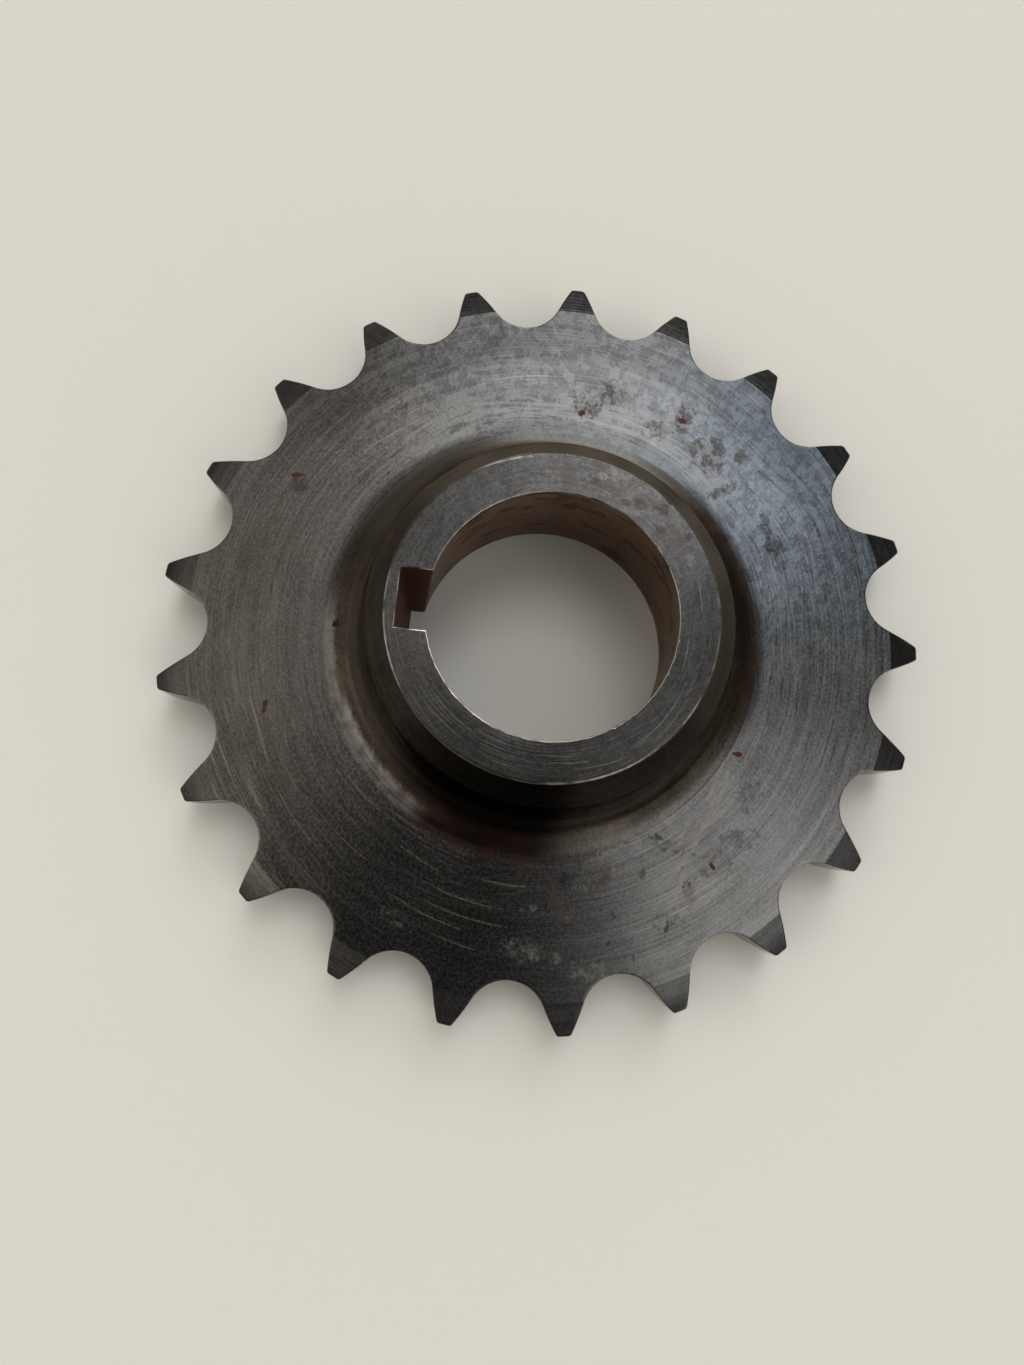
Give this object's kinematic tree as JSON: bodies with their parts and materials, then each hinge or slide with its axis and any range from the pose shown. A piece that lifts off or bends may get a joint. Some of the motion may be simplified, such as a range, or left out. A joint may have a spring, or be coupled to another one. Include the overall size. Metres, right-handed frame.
{
  "type": "chain sprocket",
  "caption": "One-piece roller-chain sprocket: a toothed plate with a chamfered hub on one side, a tapered bore and a straight keyway.",
  "frame": {"origin": "on the bore axis, in the plane of the back face, where the tapered bore is widest", "axes": "+Z along the bore axis, from the back face towards the hub's face; the keyway is on +Y"},
  "size_m": [0.088, 0.0882, 0.0198],
  "materials": {
    "steel": "dark, semi-gloss turned steel with light scratches, oxide patches and small rust specks"
  },
  "bodies": {
    "root": {"sprocket": "steel"}
  },
  "joints": []
}
